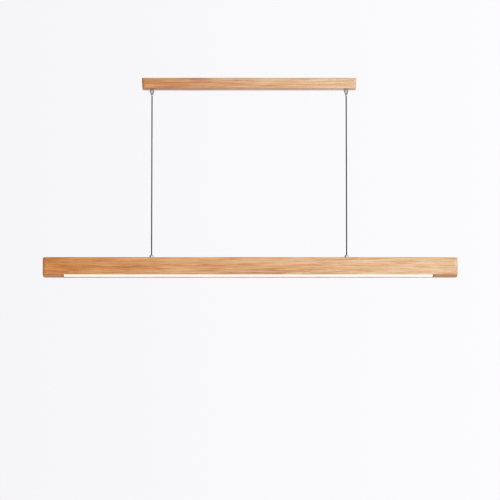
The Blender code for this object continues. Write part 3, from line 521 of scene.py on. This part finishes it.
hangLook = {
    "segments": 72,
    "softEdge": 0.3 * mm,
    "cableRadius": 1.7 * mm,
    "cableClearance": 0.2 * mm,
    "cableRings": 48,
    "cableSides": 24,
    "ball": 3.8 * mm,
    "neck": 2.5 * mm,
    "seat": 4.9 * mm,  # the bush's bore, round the bearing
    "seatArc": (80, 52),  # degrees from straight down, where the bore closes in under it
    "seatFlare": 0.3 * mm,
    "bush": 5.8 * mm,
    "flange": (6.9 * mm, 1.2 * mm),
    "ballHeight": 19.4 * mm,  # the ball's centre, above the cone's end
    "cone": 7 * mm,
    "coneEnd": 3.3 * mm,
    "coneHeight": 12.6 * mm,  # from the cone's end to where it is widest
    "shoulder": 1.3 * mm,  # how far the cone rises above that, and how far below it its hollow ends
    "neckInset": 0.1 * mm,
    "coneCrown": ((2, 1.2), (0.45, 0.5), (0, 0), (0.05, -0.6)),  # mm in from its radius, and up
    "coneTip": (0.2 * mm, 0.6 * mm),  # the cut at the end: in, and up
    "mouth": 3.5 * mm,  # depth of the narrow bore that the plunger slides in
    "plunger": 2.5 * mm,
    "plungerHead": 3.2 * mm,
    "headHeight": 1 * mm,
    "nailGroove": ((0, 2.4), (0.2, 2.2), (0.2, 1.9), (0, 1.7)),  # mm in from its radius, and above the tip
    "plungerTip": 0.3 * mm,
    "springWire": 0.25 * mm,
    "springTurns": 4,
    "springSteps": 28,  # in one turn
    "stem": (3.35 * mm, 4.4 * mm),  # the ferrule's bore and threaded stem
    "ferrule": 6.5 * mm,
    "ferruleHeight": 9.7 * mm,  # above the bar
    "ferruleGroove": ((0, 1.5), (0.4, 1.8), (0.4, 2.2), (0, 2.5)),  # mm in from its radius, and above the bar
    "ferruleCrown": ((0, 2.4), (0.3, 1.3), (1.1, 0.5)),  # mm in, and below the top
    "ferruleSeat": ((0.83, 0.67), 0.23),  # the seat's upper corner and lower height, in ball radii
    "cableHidden": (3 * mm, 0.3 * mm),  # how far the cable runs into the plunger and stays off the stop
    "spareSteps": 16,  # in one half turn
    "spareLift": 1.02,  # how far each layer is from the middle, in cable radii
}


def sweepTube(route, radius, sides=20):
    # a closed tube through points, its rings turned with the route
    bm = bmesh.new()
    points = [Vector(p) for p in route]
    rings = []
    normal = None
    for k, point in enumerate(points):
        ahead = (points[min(k + 1, len(points) - 1)] - points[max(k - 1, 0)]).normalized()
        if normal is None:
            normal = ahead.orthogonal().normalized()
        normal = (normal - ahead * normal.dot(ahead)).normalized()
        side = ahead.cross(normal)
        ring = []
        for s in range(sides):
            turn = 2 * math.pi * s / sides
            ring.append(bm.verts.new(point + radius * (math.cos(turn) * normal + math.sin(turn) * side)))
        rings.append(ring)
    for low, high in zip(rings, rings[1:]):
        for s in range(sides):
            n = (s + 1) % sides
            bm.faces.new((low[s], low[n], high[n], high[s]))
    bm.faces.new(rings[0])
    bm.faces.new(list(reversed(rings[-1])))
    return bm


def sphereArc(radius, start, end, steps):
    # (radius, z) points of a circle by angles in degrees from straight down
    angles = [math.radians(start + (end - start) * k / steps) for k in range(steps + 1)]
    return [(radius * math.sin(a), -radius * math.cos(a)) for a in angles]


def makeSocket(side, axis, pivot):
    look = hangLook
    low, high = (corner.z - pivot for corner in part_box(f"{side}_swivel_socket"))
    rim, thick = look["flange"]
    profile = [(look["seat"], high), (look["seat"], 0), *sphereArc(look["seat"], *look["seatArc"], 3)]
    profile += [(profile[-1][0] + look["seatFlare"], low), (rim, low), (rim, low + thick)]
    profile += [(look["bush"], low + thick), (look["bush"], high)]
    bm = turnProfile(softenProfile(profile, look["softEdge"]), (*axis, pivot), look["segments"])
    finishPiece(f"{side}SwivelSocket", bm, chrome, "canopy", f"{side}_swivel_socket", slot="chrome")


def makeCone(side, axis, pivot):
    look = hangLook
    end = -look["ballHeight"]
    bore = look["cableRadius"] + look["cableClearance"]
    lip = look["plunger"] + look["cableClearance"]
    cavity = look["plungerHead"] + look["cableClearance"]
    ball = look["ball"]
    top = 180 - math.degrees(math.asin(bore / ball))
    neck = math.degrees(math.asin(look["neck"] / ball))
    shoulder = end + look["coneHeight"]
    rise = look["shoulder"]
    roof = shoulder - rise
    mouth = end + look["mouth"]
    profile = sphereArc(ball, top, neck, 16)
    profile.append((look["neck"] - look["neckInset"], shoulder + rise))
    profile += [(look["cone"] - inset * mm, shoulder + up * mm) for inset, up in look["coneCrown"]]
    inset, up = look["coneTip"]
    profile += [(look["coneEnd"], end + up), (look["coneEnd"] - inset, end)]
    profile += [(lip, end), (lip, mouth), (cavity, mouth)]
    profile += [(cavity, roof), (bore, roof)]
    bm = turnProfile(softenProfile(profile, look["softEdge"]), (*axis, pivot), look["segments"])
    finishPiece(f"{side}GripperCone", bm, chrome, f"{side}_gripper", f"{side}_gripper", slot="chrome")


def makePlunger(side, axis, pivot):
    look = hangLook
    low, high = (corner.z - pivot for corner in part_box(f"{side}_plunger"))
    bore = look["cableRadius"] + look["cableClearance"]
    outer = look["plunger"]
    head = look["plungerHead"]
    under = high - look["headHeight"]
    profile = [(bore, high), (head, high), (head, under), (outer, under)]
    # a shallow groove for the fingernail that pushes it up
    profile += [(outer - inset * mm, low + up * mm) for inset, up in look["nailGroove"]]
    tip = look["plungerTip"]
    profile += [(outer, low + tip), (outer - tip, low), (bore, low)]
    bm = turnProfile(softenProfile(profile, look["softEdge"]), (*axis, pivot), look["segments"])
    finishPiece(f"{side}ReleasePlunger", bm, chrome, f"{side}_plunger", f"{side}_plunger", slot="chrome")


def makeSpring(side, axis):
    look = hangLook
    low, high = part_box(f"{side}_spring")
    wire = look["springWire"]
    radius = (high.x - low.x) / 2 - wire
    around = look["springSteps"]
    count = look["springTurns"] * around
    route = []
    for k in range(count + 1):
        angle = 2 * math.pi * k / around
        z = low.z + wire + (high.z - low.z - 2 * wire) * k / count
        route.append((axis[0] + radius * math.cos(angle), radius * math.sin(angle), z))
    bm = sweepTube(route, wire, 8)
    name = f"{side}ReleaseSpring"
    spring = finishPiece(name, bm, springSteel, None, f"{side}_spring", slot="spring_steel", sharp=70)
    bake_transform(spring)


def makeFerrule(side, axis):
    look = hangLook
    low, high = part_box(f"{side}_ferrule")
    stopLow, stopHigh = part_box(f"{side}_cable_stop")
    ball = (stopHigh.z - stopLow.z) / 2
    centre = stopLow.z + ball
    low, top = low.z - centre, high.z - centre
    seat = top - look["ferruleHeight"]  # the flange rests here, on the bar
    bore, stem = look["stem"]
    outer = look["ferrule"]
    (wide, upper), lower = look["ferruleSeat"]
    profile = [(wide * ball, upper * ball), (bore, lower * ball)]
    profile += [(bore, low), (stem, low), (stem, seat), (outer, seat)]
    # a plain foot with one turned groove above it
    profile += [(outer - inset * mm, seat + up * mm) for inset, up in look["ferruleGroove"]]
    profile += [(outer - inset * mm, top - down * mm) for inset, down in look["ferruleCrown"]]
    profile += [(stem, top), (bore, top)]
    bm = turnProfile(softenProfile(profile, look["softEdge"]), (*axis, centre), look["segments"])
    finishPiece(f"{side}BeamFerrule", bm, chrome, "beam", f"{side}_ferrule", slot="chrome")


def makeCable(side, axis):
    # drops from inside the plunger to the stop, with rings all the way so that it can stretch
    look = hangLook
    overlap, gap = look["cableHidden"]
    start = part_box(f"{side}_plunger")[0].z
    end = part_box(f"{side}_cable_stop")[1].z + gap
    top = start + overlap
    count = look["cableRings"]
    route = [(*axis, top + (end - top) * k / count) for k in range(count + 1)]
    bm = sweepTube(route, look["cableRadius"], look["cableSides"])
    cable = finishPiece(f"{side}Cable", bm, sheath, None, f"{side}_cable", slot="cable_sheath")
    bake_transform(cable)


def makeSpareCable(side):
    # the unused length, wound flat in an oblong hank inside the canopy
    low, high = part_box(f"{side}_spare_cable")
    look = hangLook
    thick = look["cableRadius"]
    middle = (low + high) / 2
    straight = (high.x - low.x) - (high.y - low.y)
    steps = look["spareSteps"]
    route = []
    # down the outer pair of turns, then up the inner one
    for column, level in ((0, 1), (0, -1), (1, -1), (1, 1)):
        radius = (high.y - low.y) / 2 - thick - column * 2 * thick
        for k in range(2 * steps):
            half = k // steps
            angle = math.radians(180 * (k % steps) / (steps - 1) + 180 * half - 90)
            x = middle.x + (straight / 2 if half == 0 else -straight / 2) + radius * math.cos(angle)
            z = middle.z + level * thick * look["spareLift"]
            route.append((x, middle.y + radius * math.sin(angle), z))
    bm = sweepTube(route, thick, 16)
    name = f"{side}SpareCable"
    finishPiece(name, bm, sheath, "canopy", f"{side}_spare_cable", slot="cable_sheath", sharp=60)


for side in ("left", "right"):
    coneLow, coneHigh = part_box(f"{side}_gripper")
    axis = ((coneLow.x + coneHigh.x) / 2, 0)
    pivot = coneLow.z + hangLook["ballHeight"]
    makeSocket(side, axis, pivot)
    makeCone(side, axis, pivot)
    makePlunger(side, axis, pivot)
    makeSpring(side, axis)
    makeFerrule(side, axis)
    makeCable(side, axis)
    makeSpareCable(side)
    print(side, "hanger made")

finishOf = {
    "oak": beamOak,
    "oak_edge": capOak,
    "chrome": chrome,
    "zinc_steel": zincSteel,
    "spring_steel": springSteel,
    "brass": brassTurned,
    "aluminium": aluminium,
    "cable_sheath": sheath,
    "white_lead": whiteLead,
    "brown_lead": brownLead,
    "blue_lead": blueLead,
    "opal": opal,
    "white_board": whiteMask,
    "white_plastic": whiteAbs,
    "grey_plastic": greyNylon,
    "black_plastic": blackNylon,
}

for entry in frame["record"]["subparts"]:
    node = frame["nodes"][entry["node"]]
    node.data.materials.clear()
    node.data.materials.append(finishOf[entry["material_slot"]])
print("finishes set on the pieces that keep their shape")

roomLook = {
    "floorHeight": -4.4,
    "floorSize": 30,
    "skyLeft": "f6f5f7",  # the room behind the lamp, from left to right
    "skyRight": "fcfbfd",
    "skyReach": 0.045,  # half the width of that change, as a direction's x
    "frontLeft": 0.3,  # how bright the rest of the room is
    "frontRight": 0.75,
    "floorGrain": 400,  # mm
    "behind": (0.35, 0.85),  # a direction's y where the bright part starts and is full
    # each lamp's place, what it is turned to, its size in m and its power in W
    "lamps": {
        "keyRight": ((4.6, -2.0, 0.9), (0.2, 0, -0.4), 3.4, 84),
        "fillFront": ((-0.8, -5.5, 0.1), (0, 0, -0.35), 5.0, 125),
        "bounceBelow": ((0, -1.6, -3.6), (0, 0, -0.3), 3.0, 40),
    },
    "sensor": 36,  # mm
    "cameraPitch": 9.5,  # degrees up
    "cameraDistance": 16.3,
    "cameraTarget": (0.0026, 0, -0.5045),
    "viewWidth": 1.4485,  # m across the picture at the lamp
}


def makeFloor():
    size = roomLook["floorSize"]
    bm = bmesh.new()
    corners = [(-size, -size), (size, -size), (size, size), (-size, size)]
    bm.faces.new([bm.verts.new((x, y, roomLook["floorHeight"])) for x, y in corners])
    mesh = bpy.data.meshes.new("floor")
    bm.to_mesh(mesh)
    bm.free()
    # painted floor, matt, faintly cool
    made = makeFinish("paintMattPaleFloor", "e6e2e7", "eae7eb", 0.8, roomLook["floorGrain"])[0]
    mesh.materials.append(made)
    floor = bpy.data.objects.new("floor", mesh)
    bpy.context.scene.collection.objects.link(floor)


def makeRoom():
    # bright behind the lamp, dimmer in front, and dimmest at the left
    world = bpy.data.worlds.new("softRoom")
    bpy.context.scene.world = world
    world.use_nodes = True
    tree = world.node_tree
    background = tree.nodes["Background"]
    look = roomLook
    direction = addNode(tree, "ShaderNodeTexCoord").outputs["Generated"]
    split = addNode(tree, "ShaderNodeSeparateXYZ", {0: direction})
    links = {"Value": split.outputs[0], "From Min": -look["skyReach"], "From Max": look["skyReach"]}
    behind = addNode(tree, "ShaderNodeMapRange", links).outputs[0]
    links = {0: behind, 6: hexToLinear(look["skyLeft"]), 7: hexToLinear(look["skyRight"])}
    colour = addNode(tree, "ShaderNodeMix", links, data_type="RGBA")
    tree.links.new(colour.outputs[2], background.inputs["Color"])
    dim, bright = look["frontLeft"], look["frontRight"]
    links = {"Value": split.outputs[0], "From Min": -1.0, "To Min": dim, "To Max": bright}
    across = addNode(tree, "ShaderNodeMapRange", links).outputs[0]
    low, high = look["behind"]
    links = {"Value": split.outputs[1], "From Min": low, "From Max": high}
    litShare = addNode(tree, "ShaderNodeMapRange", links, interpolation_type="SMOOTHSTEP").outputs[0]
    level = addNode(tree, "ShaderNodeMix", {0: litShare, 2: across, 3: 1.0}, data_type="FLOAT")
    tree.links.new(level.outputs[0], background.inputs["Strength"])


def makeLights():
    for name, (place, aim, size, power) in roomLook["lamps"].items():
        lamp = bpy.data.lights.new(name, "AREA")
        lamp.energy = power
        lamp.size = size
        obj = bpy.data.objects.new(name, lamp)
        obj.location = place
        obj.rotation_euler = (Vector(aim) - Vector(place)).to_track_quat("-Z", "Y").to_euler()
        bpy.context.scene.collection.objects.link(obj)


def makeCamera():
    pitch = math.radians(roomLook["cameraPitch"])
    view = Vector((0, math.cos(pitch), math.sin(pitch)))
    camera = bpy.data.cameras.new("lampCamera")
    camera.sensor_width = roomLook["sensor"]
    camera.lens = roomLook["sensor"] * roomLook["cameraDistance"] / roomLook["viewWidth"]
    camera.clip_end = 200
    obj = bpy.data.objects.new("lampCamera", camera)
    obj.location = Vector(roomLook["cameraTarget"]) - view * roomLook["cameraDistance"]
    obj.rotation_euler = view.to_track_quat("-Z", "Y").to_euler()
    bpy.context.scene.collection.objects.link(obj)
    bpy.context.scene.camera = obj
    bpy.context.scene.view_settings.view_transform = "Standard"


makeFloor()
makeRoom()
makeLights()
makeCamera()
print("room, lights and camera set")
